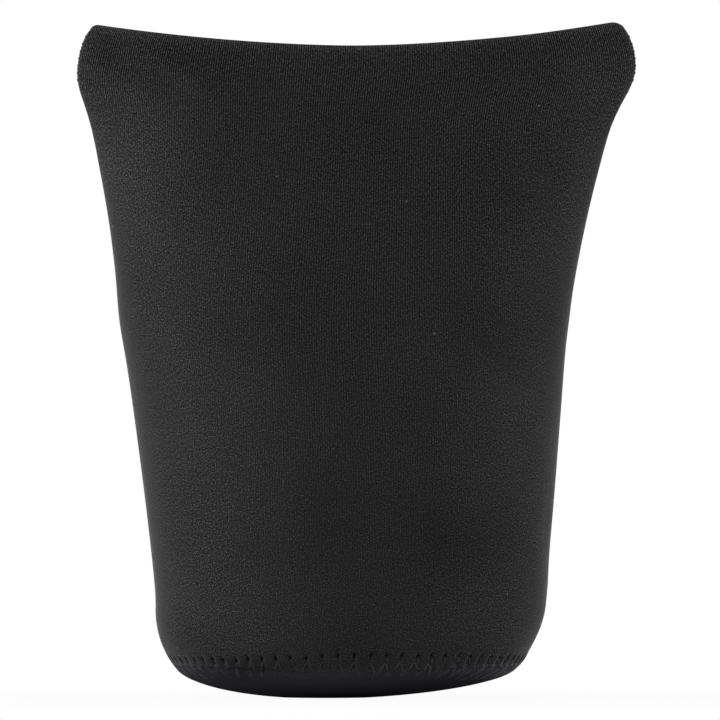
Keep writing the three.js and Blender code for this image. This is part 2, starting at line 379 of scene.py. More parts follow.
# Folds: from x and z, to x and z, how wide, push out
FOLDS = [
    (-57, 143, -33, 131, 3.2, -0.9),
    (34, 124, 48, 110, 4.0, -0.7),
    (56, 138, 40, 134, 3.0, -0.4),
]


def spots(x, z, table):
    total = 0
    for at_x, at_z, reach_x, reach_z, much in table:
        total = total + much * hump(x - at_x, reach_x) * hump(z - at_z, reach_z)
    return total


def ripple(x, z):
    slanted = np.sin(RIPPLE_SLANT_X * x + RIPPLE_SLANT_Z * z + RIPPLE_START)
    return RIPPLE * slanted * np.sin(RIPPLE_UP * z + RIPPLE_UP_START)


def folds(x, z):
    total = 0
    for x0, z0, x1, z1, wide, out in FOLDS:
        run = math.hypot(x1 - x0, z1 - z0)
        along = ((x - x0) * (x1 - x0) + (z - z0) * (z1 - z0)) / run**2
        across = ((x - x0) * (z1 - z0) - (z - z0) * (x1 - x0)) / run
        ends = smooth(along * FOLD_ENDS) * smooth((1 - along) * FOLD_ENDS)
        total = total + out * ends * hump(across, wide)
    return total


print("dents", len(HANDLING), "and folds", len(FOLDS))

# %% How far the wall is pushed
BACK_MIRROR = 20.0
CALM_BELOW, HANDLED_ABOVE, CALM_EDGE = 11.0, 19.0, 0.15


def handled(side, share, z):
    x = on_wall(side, share, z)[..., 0]
    if side == BACK:
        x = BACK_MIRROR - x
    push = ripple(x, z) + spots(x, z, HANDLING) + folds(x, z)
    free_of_seam = smooth(part_of(z, CALM_BELOW, HANDLED_ABOVE))
    return push * free_of_seam * smooth((1 - np.abs(share)) / CALM_EDGE)


print("push in the middle of the front", round(float(handled(FRONT, 0.0, HEIGHT / 2)), 2), "mm")

# %% [markdown]
# The knit's colour also carries painted light and shade in soft patches: painted light at the ears, and
# painted shade in a crease by the left ear, along the seam, at the lower sides and in a few other places.
# They are stored on the points of the mesh for the finish to read.

# %% Painted light and shade
# Painted light and shade: across, up, reach across, reach up, how much lighter
PAINTED_LIGHT_AND_SHADE = [
    (-45, 121, 10, 18, 0.42),
    (-53, 136, 9, 7, 0.16),
    (53, 137, 9, 7, 0.3),
    (-41, 140, 9, 4, -0.22),
    (33, 78, 9, 10, -0.2),
    (23, 34, 15, 12, -0.3),
    (-14, 34, 13, 13, -0.13),
    (-29, 78, 7, 8, -0.12),
    (-25, 6.4, 13, 2.8, -0.75),
    (28, 6, 14, 2.8, -0.42),
    (24, 9.5, 11, 4, -0.17),
    (-41, 12, 8, 12, -0.14),
    (41, 14, 8, 14, -0.18),
    (-30, 12, 8, 5, -0.2),
]
GROOVE_SHADE, LEFT_GROOVE_SHADE, RIGHT_GROOVE_SHADE = 0.06, 0.24, 0.4


def lit_and_shaded(x, z):
    return spots(x, z, PAINTED_LIGHT_AND_SHADE)


# Painted shade in the needle holes and the grooves below them, more towards the sides and most on the right
def hole_shade(side, share, z):
    groove_shade = GROOVE_SHADE + np.where(share < 0, LEFT_GROOVE_SHADE, RIGHT_GROOVE_SHADE) * at_side(share)
    return needle_hole(side, share, z) + groove_shade * groove(side, share, z)


print("worn places", len(PAINTED_LIGHT_AND_SHADE))

# %% [markdown]
# ## The edge of the mouth
# The mouth dips in the middle, because the sheet is pulled down between the two sewn ears. It tilts up
# very slightly to the right, and each ear has a rounded tip of its own.

# %% The height of the mouth
LEFT_CORNER, RIGHT_CORNER = 2.3, 4.0
MOUTH_DIP, DIP_POWER = 5.5, 1.7
MOUTH_ABOVE, MOUTH_TILT = 0.45, 0.25
RIGHT_EAR_RISE, RIGHT_EAR_FROM = 0.3, 0.6


def mouth_height(share):
    corner = np.where(share < 0, LEFT_CORNER, RIGHT_CORNER)
    tip = np.clip((np.abs(share) * MOUTH_HALF - MOUTH_HALF + corner) / corner, 0, 1)
    rounding = corner * (1 - np.sqrt(1 - tip**2))
    dip = MOUTH_DIP * (1 - np.abs(share) ** DIP_POWER)
    right_rise = RIGHT_EAR_RISE * smooth(part_of(share, RIGHT_EAR_FROM, 1))
    return HEIGHT + MOUTH_ABOVE + MOUTH_TILT * share + right_rise - dip - rounding


print("middle of the mouth", round(float(mouth_height(0.0)), 1), "mm up")

# %% [markdown]
# ## The three layers of the wall
# Each layer starts as a flat grid, as it would be cut. It is extruded, so that it has an outer and an
# inner side, and then every point is rolled up to its place. The outer knit gets a fine grid, gathered
# at the stitches because it carries them, while foam and lining show little and stay coarse.

# %% Flat grids and finished pieces
SHARP_EDGE = 0.8
GATHER = 1.5


def flat_layer(columns, rows):
    bm = bmesh.new()
    bmesh.ops.create_grid(bm, x_segments=columns, y_segments=rows, size=1)
    sides = bmesh.ops.extrude_face_region(bm, geom=bm.faces[:])
    inside = [part for part in sides["geom"] if isinstance(part, bmesh.types.BMVert)]
    bmesh.ops.translate(bm, verts=inside, vec=(0, 0, -1))
    return bm


def gathered(share):
    count = (share + 1) / 2 * HALF_STITCHES
    from_stitch = count - np.floor(count) - 0.5
    near = np.sign(from_stitch) * 0.5 * np.abs(2 * from_stitch) ** GATHER
    return (np.floor(count) + 0.5 + near) / HALF_STITCHES * 2 - 1


def new_piece(name, bm):
    for edge in bm.edges:
        edge.smooth = edge.calc_face_angle(0) < SHARP_EDGE
    mesh = bpy.data.meshes.new(name)
    bm.to_mesh(mesh)
    bm.free()
    mesh.polygons.foreach_set("use_smooth", [True] * len(mesh.polygons))
    piece = bpy.data.objects.new(name, mesh)
    bpy.context.scene.collection.objects.link(piece)
    return piece


print("grid lines near a stitch", np.round(gathered(np.linspace(0, 1 / HALF_STITCHES, 5)), 4))

# %% [markdown]
# The knit ends on the wall's foot and the mouth's edge, with a rim that rolls in slightly, and just below
# the edge it has a painted highlight. Foam and lining end a touch lower at the mouth, as a trimmed core
# does. The UV map holds the share and the level of each point, so that the knit's pattern follows the
# sheet when it bends.

# %% Roll up a layer
CORE_LOWER = 0.15
FOOT_EASE_TOP, FOOT_EASE = 9.4, 3.2
RIM_FROM, RIM_ROLL = 0.994, 0.14
# Painted highlight just below the mouth's edge: how much lighter, and over how many millimetres it fades
LIP_HIGHLIGHT, LIP_HIGHLIGHT_REACH = 1.7, 0.8


def rolled_layer(name, side, outer, inner, columns, heights, sewn):
    foot = heights[0]
    levels = (np.array(heights) - foot) / (HEIGHT - foot)
    rows = len(levels) - 1
    bm = flat_layer(columns, rows)
    flat = np.array([vert.co for vert in bm.verts])
    share = gathered(flat[:, 0]) if sewn else flat[:, 0]
    level = levels[np.rint((flat[:, 1] + 1) / 2 * rows).astype(int)]
    depth = np.where(flat[:, 2] < -0.5, inner, outer)
    crowded = share * (1 - depth * EAR_CROWDING / MOUTH_HALF)
    edge = mouth_height(crowded) - (0 if sewn else CORE_LOWER)
    z = foot + level * (edge - foot)
    shade = 0 * z
    if sewn:
        z = z + (wall_foot(share) - foot) * smooth((FOOT_EASE_TOP - z) / FOOT_EASE)
        shade = hole_shade(side, share, z)
    push = handled(side, share, z)
    if sewn:
        rim = smooth(part_of(level, RIM_FROM, 1)) * (depth < inner)
        push = push + sewing(side, share, z) - RIM_ROLL * rim
    place = on_wall(side, share, z, depth, push)
    # Painted light and shade: the soft patches, plus a painted highlight just below the mouth's edge
    painted_light_shade = lit_and_shaded(place[:, 0], z) + LIP_HIGHLIGHT * np.exp((z - edge) / LIP_HIGHLIGHT_REACH)
    store(bm, share, level, place, shade, painted_light_shade)
    piece = new_piece(name, bm)
    print(name, len(piece.data.polygons), "faces")
    return piece


def store(bm, share, level, place, shade, painted_light_shade):
    uv = bm.loops.layers.uv.new("Knit")
    shade_layer = bm.verts.layers.float.new("hole_shade")
    painted_light_shade_layer = bm.verts.layers.float.new("painted_light_shade")
    for vert, along, up, co, dark, light in zip(bm.verts, share, level, place, shade, painted_light_shade):
        for loop in vert.link_loops:
            loop[uv].uv = ((along + 1) / 2, up)
        vert.co = co * MM
        vert[shade_layer] = float(dark)
        vert[painted_light_shade_layer] = float(light)
    bmesh.ops.recalc_face_normals(bm, faces=bm.faces[:])


print("rim rolls in by", RIM_ROLL, "mm")

# %% [markdown]
# The front and the back are two pieces, because each bends with its own lip. They meet at the outer edge
# of the ears. The rows of the grids are close together at the seam and the ears, and wide between them.

# %% The layers of the front and the back
FACE, FOAM, LINING = 0.55, 2.2, 0.45
FOAM_BACK = FACE + FOAM
LINING_BACK = FACE + FOAM + LINING
KNIT_COLUMNS, CORE_COLUMNS = 360, 96
KNIT_ROWS = np.concatenate(
    [
        np.arange(WALL_FOOT, 11.4, 0.26),
        np.arange(11.5, 20, 0.8),
        np.arange(20, 134, 2.4),
        np.linspace(134.5, 147.4, 28),
        [147.7, 147.9, 148],
    ]
)
CORE_ROWS = np.concatenate(
    [
        np.arange(SEAM_HEIGHT, 20, 1.6),
        np.arange(20, 134, 3.2),
        np.linspace(134.5, 148, 12),
    ]
)
wall = {}
for name, side in (("front", FRONT), ("back", BACK)):
    wall[name] = [
        rolled_layer(name + "_knit", side, 0, FACE, KNIT_COLUMNS, KNIT_ROWS, True),
        rolled_layer(name + "_padding", side, FACE, FOAM_BACK, CORE_COLUMNS, CORE_ROWS, False),
        rolled_layer(name + "_lining_knit", side, FOAM_BACK, LINING_BACK, CORE_COLUMNS, CORE_ROWS, False),
    ]

# %% [markdown]
# ## The round base
# The base is a disc of the same sheet that bulges below its seam and is pressed flat where it stands. A
# body like that is spun: half of its section is drawn as a few points, and spin turns it round the
# upright axis. The real one sags a little to one side, so the finished dome is sheared slightly.

# %% The section of the base
BASE_RIM = 7.5
FOOT_RADIUS = 10.0
DOME_POWER, DOME_ROOT = 1.95, 0.53
FOOT_SHARE = (1 - (FOOT_RADIUS / SEAM_RADIUS) ** (1 / DOME_ROOT)) ** (1 / DOME_POWER)
DOME_DEPTH = BASE_RIM / FOOT_SHARE
SAG, SAG_POWER = 4.5, 2.2


def dome_radius(depth, down):
    return (SEAM_RADIUS - depth) * (1 - down**DOME_POWER) ** DOME_ROOT


def dome(depth, steps):
    foot = math.asin((BASE_RIM - depth) / (DOME_DEPTH - depth))
    down = np.sin(np.linspace(foot, 0, steps))
    return np.stack([dome_radius(depth, down), BASE_RIM - (DOME_DEPTH - depth) * down], axis=-1)


def sagged(x, z):
    return x - SAG * np.clip(1 - z / BASE_RIM, 0, 1) ** SAG_POWER + sway(z)


print("the dome would be", round(DOME_DEPTH, 1), "mm deep without its flat foot")

# %% Spin the layers of the base
SPIN_STEPS = 144
WELD = 1e-4
BASE_CUT = 80
# The outer knit tucks in under the seam: its last points move in by so much
RIM_TUCK = [0.02, 0.08, 0.2, 0.4]
DISC_STEPS, DISC_CORE_STEPS = 30, 14


def spun_layer(name, outer, inner, steps):
    outside, inside = dome(outer, steps), dome(inner, steps)
    if outer == 0:
        outside[-len(RIM_TUCK) :, 0] -= RIM_TUCK
    profile = [(0, outer), *outside, *inside[::-1], (0, inner)]
    bm = bmesh.new()
    points = [bm.verts.new((r, 0, z)) for r, z in profile]
    lines = [bm.edges.new(pair) for pair in zip(points, points[1:])]
    turn = {"cent": (0, 0, 0), "axis": (0, 0, 1), "angle": 2 * math.pi, "steps": SPIN_STEPS}
    bmesh.ops.spin(bm, geom=points + lines, use_merge=True, **turn)
    bmesh.ops.remove_doubles(bm, verts=bm.verts[:], dist=WELD)
    bmesh.ops.recalc_face_normals(bm, faces=bm.faces[:])
    uv = bm.loops.layers.uv.new("Knit")
    painted_light_shade_layer = bm.verts.layers.float.new("painted_light_shade")
    for vert in bm.verts:
        x, y, z = vert.co
        for loop in vert.link_loops:
            loop[uv].uv = (0.5 + x / BASE_CUT, 0.5 + y / BASE_CUT)
        # The base gets the painted light and shade of the patches too
        vert[painted_light_shade_layer] = float(lit_and_shaded(x, z))
        vert.co = (float(sagged(x, z)) * MM, y * MM, z * MM)
    piece = new_piece(name, bm)
    print(name, len(piece.data.polygons), "faces")
    return piece


base = [
    spun_layer("base_disc_knit", 0, FACE, DISC_STEPS),
    spun_layer("base_disc_padding", FACE, FOAM_BACK, DISC_CORE_STEPS),
    spun_layer("base_disc_lining", FOAM_BACK, LINING_BACK, DISC_CORE_STEPS),
]

# %% [markdown]
# ## Threads
# Sewing thread is round and follows a line, so each thread is drawn as a curve with a round bevel and
# then made a mesh. Its points are placed on the skin of the pouch, over the wall or the dome, with a
# small lift. On the dome a lift turns from outwards to downwards.

# %% A thread along a line
THREAD = 0.4
LIFT_LESS_OUT, LIFT_DOWN = 0.4, 0.7


def on_skin(side, share, z, lift):
    if z >= wall_foot(share):
        return on_wall(side, share, z, 0, lift + handled(side, share, z))
    down = np.clip((BASE_RIM - z) / DOME_DEPTH, 0, 1)
    radius = dome_radius(0, down) + lift * (1 - LIFT_LESS_OUT * down)
    angle = share * math.pi / 2
    x, y = radius * math.sin(angle), side * radius * math.cos(angle)
    return np.array([sagged(x, z), y, z - LIFT_DOWN * lift * down])


def thread(name, lines, thick=THREAD, closed=False):
    curve = bpy.data.curves.new(name, "CURVE")
    curve.dimensions = "3D"
    curve.bevel_depth = thick / 2 * MM
    curve.bevel_resolution = 1
    curve.use_fill_caps = not closed
    for line in lines:
        spline = curve.splines.new("POLY")
        spline.points.add(len(line) - 1)
        spline.use_cyclic_u = closed
        for point, place in zip(spline.points, line):
            point.co = (*(np.asarray(place) * MM), 1)
    drawn = bpy.data.objects.new(name + "_line", curve)
    bpy.context.scene.collection.objects.link(drawn)
    bpy.context.view_layer.update()
    swept = drawn.evaluated_get(bpy.context.evaluated_depsgraph_get())
    mesh = bpy.data.meshes.new_from_object(swept)
    bpy.data.objects.remove(drawn)
    mesh.name = name
    mesh.polygons.foreach_set("use_smooth", [True] * len(mesh.polygons))
    piece = bpy.data.objects.new(name, mesh)
    bpy.context.scene.collection.objects.link(piece)
    print(name, len(lines), "lines,", len(mesh.polygons), "faces")
    return piece


print("thread", THREAD, "mm thick")

# %% [markdown]
# The needle thread dives into each hole, comes down the wall as a short bar, and sinks in again before
# the edge of the sheet.

# %% Needle bars at the base seam
NEEDLE_THREAD = 0.26
# How far down from the hole to the wall's edge, how far aside, and how deep it lies
DIVE = [
    (-0.06, 0.0, -0.6),
    (0.0, 0.002, -0.2),
    (0.09, 0.004, -0.09),
    (0.2, 0.006, -0.07),
    (0.31, 0.008, -0.06),
    (0.43, 0.01, -0.05),
    (0.54, 0.012, -0.3),
]


def on_seam(side, share, z, lift):
    relief = sewing(side, np.asarray(share), z) if z >= wall_foot(share) else 0
    return on_skin(side, share, z, lift + relief)


def stitch_share(side, count, offset=0.0):
    wander = stitch_wander[ROW[side], count] / STITCH_PITCH
    return (count + 0.5 + wander + offset) / HALF_STITCHES * 2 - 1


bars = []
for side in (FRONT, BACK):
    for count in range(HALF_STITCHES):
        share = stitch_share(side, count)
        hole = hole_height(share) + stitch_height[ROW[side], count]
        fall = hole - wall_foot(share)
        bars.append([on_seam(side, share + aside, hole - fall * down, lift) for down, aside, lift in DIVE])
needle_bars = thread("needle_bars", bars, thick=NEEDLE_THREAD)

# %% [markdown]
# The looper thread swings to and fro over the seam and holds the base on. Its three plies lie close
# together in the middle of the front. At the sides, where the thread is more worn, they spread.

# %% Looper loops at the base seam
PLIES = (-1, 0, 1)
PLY_THREAD = 0.17
LOOP_STEPS, LOOP_POINTED = 12, 0.96
LOOP_MIDDLE, LOOP_REACH = 6.75, 1.5
REACH_UNEVEN, PLY_UNEVEN = 0.14, 0.2
PLY_APART, PLY_APART_AT_SIDE = 0.12, 0.45
LOOP_LIFT, LOOP_LIFT_SWING = -0.04, 0.03


def looper_swing(turn):
    return math.asin(LOOP_POINTED * math.cos(2 * math.pi * turn)) / math.asin(LOOP_POINTED)


def looper_plies(side, share, reach, uneven, swing):
    sideness = at_side(share)
    apart = (PLY_APART + PLY_APART_AT_SIDE * sideness) / HALF_GIRTH * 2
    points = []
    for ply, more in zip(PLIES, uneven):
        beside = np.clip(share + ply * apart, -1, 1)
        height = LOOP_MIDDLE - sideness + (reach + more * sideness) * swing
        points.append(on_seam(side, beside, height, LOOP_LIFT + LOOP_LIFT_SWING * swing))
    return points


loops = [[] for ply in PLIES]
for side, along in ((FRONT, 1), (BACK, -1)):
    for count in range(HALF_STITCHES)[::along]:
        reach = LOOP_REACH + chance.normal(0, REACH_UNEVEN)
        uneven = chance.normal(0, PLY_UNEVEN, len(PLIES))
        for step in range(LOOP_STEPS):
            turn = step / LOOP_STEPS
            share = np.clip(stitch_share(side, count, along * turn), -1, 1)
            points = looper_plies(side, share, reach, uneven, looper_swing(turn))
            for line, point in zip(loops, points):
                line.append(point)
looper_loops = thread("looper_loops", loops, thick=PLY_THREAD, closed=True)

# %% [markdown]
# On an ear a thread wraps round the edge again and again. At the back it zigzags from one edge of the
# sheet to the other and pulls the two together.

# %% Ear stitches
# One wrap: the side, the share of the girth, the rise and the lift of its points
WRAP = [
    (FRONT, 0.976, 0.3, -0.4),
    (FRONT, 0.984, 0.2, -0.04),
    (FRONT, 0.993, 0.1, 0.0),
    (FRONT, 1.0, 0.0, -0.06),
    (BACK, 0.993, -0.2, 0.0),
    (BACK, 0.984, -0.35, -0.04),
    (BACK, 0.976, -0.5, -0.4),
]


def ear_wraps(sign):
    lines = []
    for count in range(EAR_STITCHES):
        z = EAR_FIRST - EAR_PITCH * count
        lines.append([on_skin(side, sign * share, z + rise, lift) for side, share, rise, lift in WRAP])
    return lines


left_ear = thread("left_ear_stitches", ear_wraps(-1))
right_ear = thread("right_ear_stitches", ear_wraps(1))

# %% The back seam
BACK_SEAM_FOOT, BACK_SEAM_TOP, BACK_SEAM_THREAD = 11, 140.6, 0.5
BACK_SEAM_STEP = STITCH_PITCH / 2
# One stroke of the zigzag: across, rise and lift of its points
STROKE = [
    (-1.75, 0.0, -0.05),
    (-1.2, 0.3, 0.28),
    (0.0, 0.85, 0.12),
    (1.2, 1.4, 0.28),
]
zigzag = []
for count in range(int((BACK_SEAM_TOP - BACK_SEAM_FOOT) / BACK_SEAM_STEP)):
    z = BACK_SEAM_FOOT + count * BACK_SEAM_STEP
    way = 1 if count % 2 else -1
    for across, rise, lift in STROKE:
        zigzag.append(on_skin(BACK, way * across * 2 / HALF_GIRTH, z + rise, lift))
back_seam = thread("back_seam_stitches", [zigzag], thick=BACK_SEAM_THREAD)

# %% [markdown]
# ## Shader maths
# A finish is a network of nodes. Written out by hand that is long, so one small class wraps a socket:
# ordinary sums on it add Math nodes, and its one method adds any other node, with its settings first and
# then the values or links of its sockets. A few nodes come up often and get a short name.


# %% A socket for expressions
class Strand:
    def __init__(self, tree, socket=None):
        self.tree, self.socket = tree, socket

    def node(self, kind, settings=None, sockets=None, give=0):
        made = self.tree.nodes.new("ShaderNode" + kind)
        for name, value in (settings or {}).items():
            setattr(made, name, value)
        for name, value in (sockets or {}).items():
            if isinstance(value, Strand):
                self.tree.links.new(value.socket, made.inputs[name])
            else:
                made.inputs[name].default_value = value
        return Strand(self.tree, made.outputs[give])

    def math(self, operation, *values):
        return self.node("Math", {"operation": operation}, dict(enumerate(values)))

    def __add__(self, other):
        return self.math("ADD", self, other)

    def __sub__(self, other):
        return self.math("SUBTRACT", self, other)

    def __rsub__(self, other):
        return self.math("SUBTRACT", other, self)

    def __mul__(self, other):
        return self.math("MULTIPLY", self, other)

    def __pow__(self, other):
        return self.math("POWER", self, other)

    __radd__, __rmul__ = __add__, __mul__


print("sums ready on", Strand.__name__)


# %% Nodes with a short name
def finish(name):
    material = bpy.data.materials.new(name)
    material.use_nodes = True
    material.node_tree.nodes.clear()
    return material, Strand(material.node_tree)


def give_surface(start, shader):
    end = start.tree.nodes.new("ShaderNodeOutputMaterial")
    start.tree.links.new(shader.socket, end.inputs["Surface"])


def ramp(value, reach, ends, kind="SMOOTHSTEP"):
    sockets = {0: value, 1: reach[0], 2: reach[1], 3: ends[0], 4: ends[1]}
    return value.node("MapRange", {"interpolation_type": kind}, sockets)


def noise(place, scale, detail, roughness=0.5):
    sockets = {"Vector": place, "Scale": scale, "Detail": detail, "Roughness": roughness}
    return place.node("TexNoise", None, sockets)


def tinted(share, dark, light):
    return share.node("Mix", {"data_type": "RGBA"}, {0: share, 6: dark, 7: light}, give=2)


def stored(start, name):
    return start.node("Attribute", {"attribute_name": name}, give=2)


def bumped(height, strength, distance):
    return height.node("Bump", None, {"Strength": strength, "Distance": distance, "Height": height})


print("shader helpers ready")

# %% [markdown]
# ## Knit
# Plain jersey shows its wales as fine upright ribs, and each wale is a stack of V-shaped loops. A ribbed
# height drives both the bump and the colour, because the grooves between the ribs are darker. On top of
# it come the fuzz of the yarn, slow patches from dyeing, and here and there a fleck of lint.

# %% Loops and lint
WALE_DRIFT, DRIFT_SCALE = 0.15, 0.35
LOOP_SLANT, RIB_POWER, LOOP_DEPTH = 0.55, 1.5, 0.15
LINT, LINT_SCALE, LINT_SIZE, LINT_COVER = (0.16, 0.16, 0.155, 1), 0.16, 0.035, 0.8


def knit_loops(across, up, place, gauge):
    wale, course = gauge
    column = (across + WALE_DRIFT * noise(place, DRIFT_SCALE, 2.0)) * (1 / wale)
    from_middle = across.math("ABSOLUTE", across.math("FRACT", column) - 0.5) * 2
    loop = across.math("FRACT", up * (1 / course) + LOOP_SLANT * from_middle)
    roundness = 1 - (loop * 2 - 1) ** 2
    return (1 - from_middle) ** RIB_POWER * (1 - LOOP_DEPTH + LOOP_DEPTH * roundness)


def linted(colour, place, amount):
    cells = {"Vector": place, "Scale": LINT_SCALE, "Randomness": 1.0}
    near = place.node("TexVoronoi", None, cells)
    pick = place.node("SeparateColor", None, {0: place.node("TexVoronoi", None, cells, give=1)})
    fleck = place.math("LESS_THAN", near, LINT_SIZE) * place.math("GREATER_THAN", pick, 1 - amount)
    return tinted(fleck * LINT_COVER, colour, LINT)


print("a fleck of lint is up to", round(2 * LINT_SIZE / LINT_SCALE, 2), "mm wide")

# %% [markdown]
# Stretched knit changes over the sheet. The ribs are clearest near the mouth and fade towards the base
# and the sides, where the fuzz shows instead.

# %% Ribs and fuzz over the sheet
RIB_FOOT, RIB_RISE, RIB_RISE_POWER, RIB_SIDES, RIB_CONTRAST = 0.15, 0.75, 1.5, 1.3, 2.6
LIP_ABOVE, LIP_BELOW, LIP_CALM = 0.94, 0.79, 0.22
LIP_DRAWN, LIP_DRAWN_POWER = 0.08, 4
FUZZ_SCALE, FUZZ_PEAK, FUZZ_POWER = 3.0, 23, 5
FUZZ_FOOT, FUZZ_RISE, FUZZ_SIDES, FUZZ_SIDES_POWER = 0.62, 0.42, 3.6, 3
PATCH_SCALE, PATCH_DARK, PATCH_RANGE = 0.045, 0.75, 0.5
TONE, FUZZ_HEIGHT = 0.315, 0.5


def ribs_and_fuzz(across, rise, size, gauge, rib, grain):
    up = rise * size[1]
    place = rise.node("CombineXYZ", None, {0: across, 1: up, 2: 0.0})
    stretch = 1 - LIP_DRAWN * rise**LIP_DRAWN_POWER
    drawn = rise.node("CombineXYZ", None, {0: across, 1: up * stretch, 2: 0.0})
    height = knit_loops(across, up, place, gauge)
    fuzz = noise(drawn, FUZZ_SCALE, 2.0, 0.7)
    patch = noise(place, PATCH_SCALE, 3.0, 0.55)
    sideways = rise.math("ABSOLUTE", across * (2 / size[0]) - 1) ** 2
    below = ramp(rise, (LIP_ABOVE, LIP_BELOW), (0.0, 1.0))
    rib_share = rib * (RIB_FOOT + RIB_RISE * rise**RIB_RISE_POWER) * (1 - RIB_SIDES * sideways * below)
    weave = 1 - rib_share + rib_share * RIB_CONTRAST * height
    fuzz_at_sides = 1 + FUZZ_SIDES * sideways * (1 - rise) ** FUZZ_SIDES_POWER
    calm = 1 - LIP_CALM * (1 - below)
    fuzz_share = grain * (FUZZ_FOOT + FUZZ_RISE * rise) * fuzz_at_sides * calm
    speck = 1 - fuzz_share + fuzz_share * (FUZZ_PEAK * fuzz**FUZZ_POWER)
    light = TONE * weave * speck * (PATCH_DARK + PATCH_RANGE * patch)
    return place, light, rib_share * height + FUZZ_HEIGHT * fuzz


print("ribs have", round(100 * RIB_FOOT), "percent of their strength at the foot")

# %% [markdown]
# The cut edge of the mouth is darker and has no ribs. The painted shade of the needle holes and grooves
# and the painted light and shade of the patches come from the mesh, and the base has painted shade towards
# the middle of its underside. The sheen of the fuzz is what lightens the pouch along its outline, and it
# is set on the shader itself.

# %% How a knit finish is made
CUT_EDGE, CUT_DARKER, HOLE_SHADE_DARKER = 0.9995, 0.6, 0.66
FOOT_SHADE_FROM, FOOT_SHADE_TO, FOOT_SHADE_TONE = 0.27, 0.43, 0.75
KNIT_BUMP, KNIT_BUMP_HEIGHT = 0.7, 0.00012
KNIT_ROUGH, KNIT_ROUGH_LESS = 0.98, 0.12
SHEEN_ROUGH, SHEEN_TINT = 0.32, (0.75, 0.73, 0.76, 1)


def knit(name, dark, light, size, gauge, rib, grain, sheen, lint=0.0, sewn=False, shaded_foot=False):
    material, start = finish(name)
    uv = start.node("UVMap", {"uv_map": "Knit"})
    across = start.node("SeparateXYZ", None, {0: uv}) * size[0]
    rise = start.node("SeparateXYZ", None, {0: uv}, give=1)
    place, tone, relief = ribs_and_fuzz(across, rise, size, gauge, rib, grain)
    cut = start.math("GREATER_THAN", rise, CUT_EDGE)
    # Painted light and shade from the mesh: the patches, and the highlight below the mouth's edge
    tone = start.math("MINIMUM", tone * (1 + stored(start, "painted_light_shade")), 1.0) * (1 - CUT_DARKER * cut)
    # Painted shade: the base is darker towards the middle of its underside, where it stands on the floor
    if shaded_foot:
        away = start.node("VectorMath", {"operation": "DISTANCE"}, {0: uv, 1: (0.5, 0.5, 0)}, give=1)
        tone = tone * ramp(away, (FOOT_SHADE_FROM, FOOT_SHADE_TO), (FOOT_SHADE_TONE, 1.0))
    # Painted shade of the needle holes and grooves, stored on the mesh
    if sewn:
        tone = tone * (1 - HOLE_SHADE_DARKER * start.math("MINIMUM", stored(start, "hole_shade"), 1.0))
    colour = tinted(tone, dark, light)
    if lint:
        colour = linted(colour, place, lint)
    sockets = {
        "Base Color": colour,
        "Roughness": KNIT_ROUGH - KNIT_ROUGH_LESS * tone,
        "Normal": bumped(relief * (1 - cut), KNIT_BUMP, KNIT_BUMP_HEIGHT),
        "Specular IOR Level": 0.0,
        "Sheen Weight": sheen,
        "Sheen Roughness": SHEEN_ROUGH,
        "Sheen Tint": SHEEN_TINT,
    }
    give_surface(start, start.node("BsdfPrincipled", None, sockets))
    print(name, len(material.node_tree.nodes), "nodes")
    return material


print("the cut edge is", round(100 * CUT_DARKER), "percent darker")

# %% [markdown]
# The wall is ribbed and black. The base shows hardly any ribs and is faintly blue, and the lining is
# plain. A gauge is the width of a wale and the height of one loop.

# %% Three knits
WALL_CUT = (134, 141)
FINE_GAUGE, LINING_GAUGE = (0.545, 0.45), (0.6, 0.5)
wall_knit = knit(
    "ribbed_black_jersey",
    dark=(0.002, 0.002, 0.0022, 1),
    light=(0.072, 0.0715, 0.0735, 1),
    size=WALL_CUT,
    gauge=FINE_GAUGE,
    rib=1.0,
    grain=1.0,
    sheen=0.55,
    lint=0.22,
    sewn=True,
)
base_knit = knit(
    "smooth_blue_black_jersey",
    dark=(0.006, 0.006, 0.008, 1),
    light=(0.095, 0.092, 0.118, 1),
    size=(BASE_CUT, BASE_CUT),
    gauge=FINE_GAUGE,
    rib=0.05,
    grain=0.3,
    sheen=0.0,
    shaded_foot=True,
)
lining_knit = knit(
    "lining_jersey",
    dark=(0.004, 0.004, 0.0045, 1),
    light=(0.09, 0.09, 0.093, 1),
    size=WALL_CUT,
    gauge=LINING_GAUGE,
    rib=0.7,
    grain=0.6,
    sheen=0.06,
)

# %% [markdown]
# ## Foam and thread
# Foam rubber shows only where the mouth was cut: tiny closed cells, matte and almost black. Its pattern
# sits in the piece itself, so it reads Object coordinates, which are in metres.

# %% Foam finish
CELL_SCALE, UNEVEN_SCALE = 2400.0, 420.0
CELL_LEAST, CELL_UNEVEN = 0.4, 1.6
SMALL_BUMP, SMALL_BUMP_HEIGHT, SMALL_SHINE = 0.5, 0.0001, 0.05
OBJECT_PLACE = 3
foam_finish, start = finish("black_foam_rubber")
inside = start.node("TexCoord", give=OBJECT_PLACE)
cells = start.node("TexVoronoi", None, {"Vector": inside, "Scale": CELL_SCALE})
uneven = noise(inside, UNEVEN_SCALE, 3.0)
cell_tone = start.math("MINIMUM", cells * (CELL_LEAST + CELL_UNEVEN * uneven), 1.0)
sockets = {
    "Base Color": tinted(cell_tone, (0.004, 0.004, 0.004, 1), (0.034, 0.034, 0.035, 1)),
    "Roughness": 0.95 - 0.15 * cell_tone,
    "Normal": bumped(cell_tone, SMALL_BUMP, SMALL_BUMP_HEIGHT),
    "Specular IOR Level": SMALL_SHINE,
}
give_surface(start, start.node("BsdfPrincipled", None, sockets))
print(foam_finish.name, len(foam_finish.node_tree.nodes), "nodes")

# %% [markdown]
# Spun thread has a slight gloss along its plies, so it is a little smoother than the knit, and its colour
# breaks up at the scale of the fibres. At the base seam more of its light fibres show towards both ends,
# as painted light, and in its left half it is darker, as painted shade.

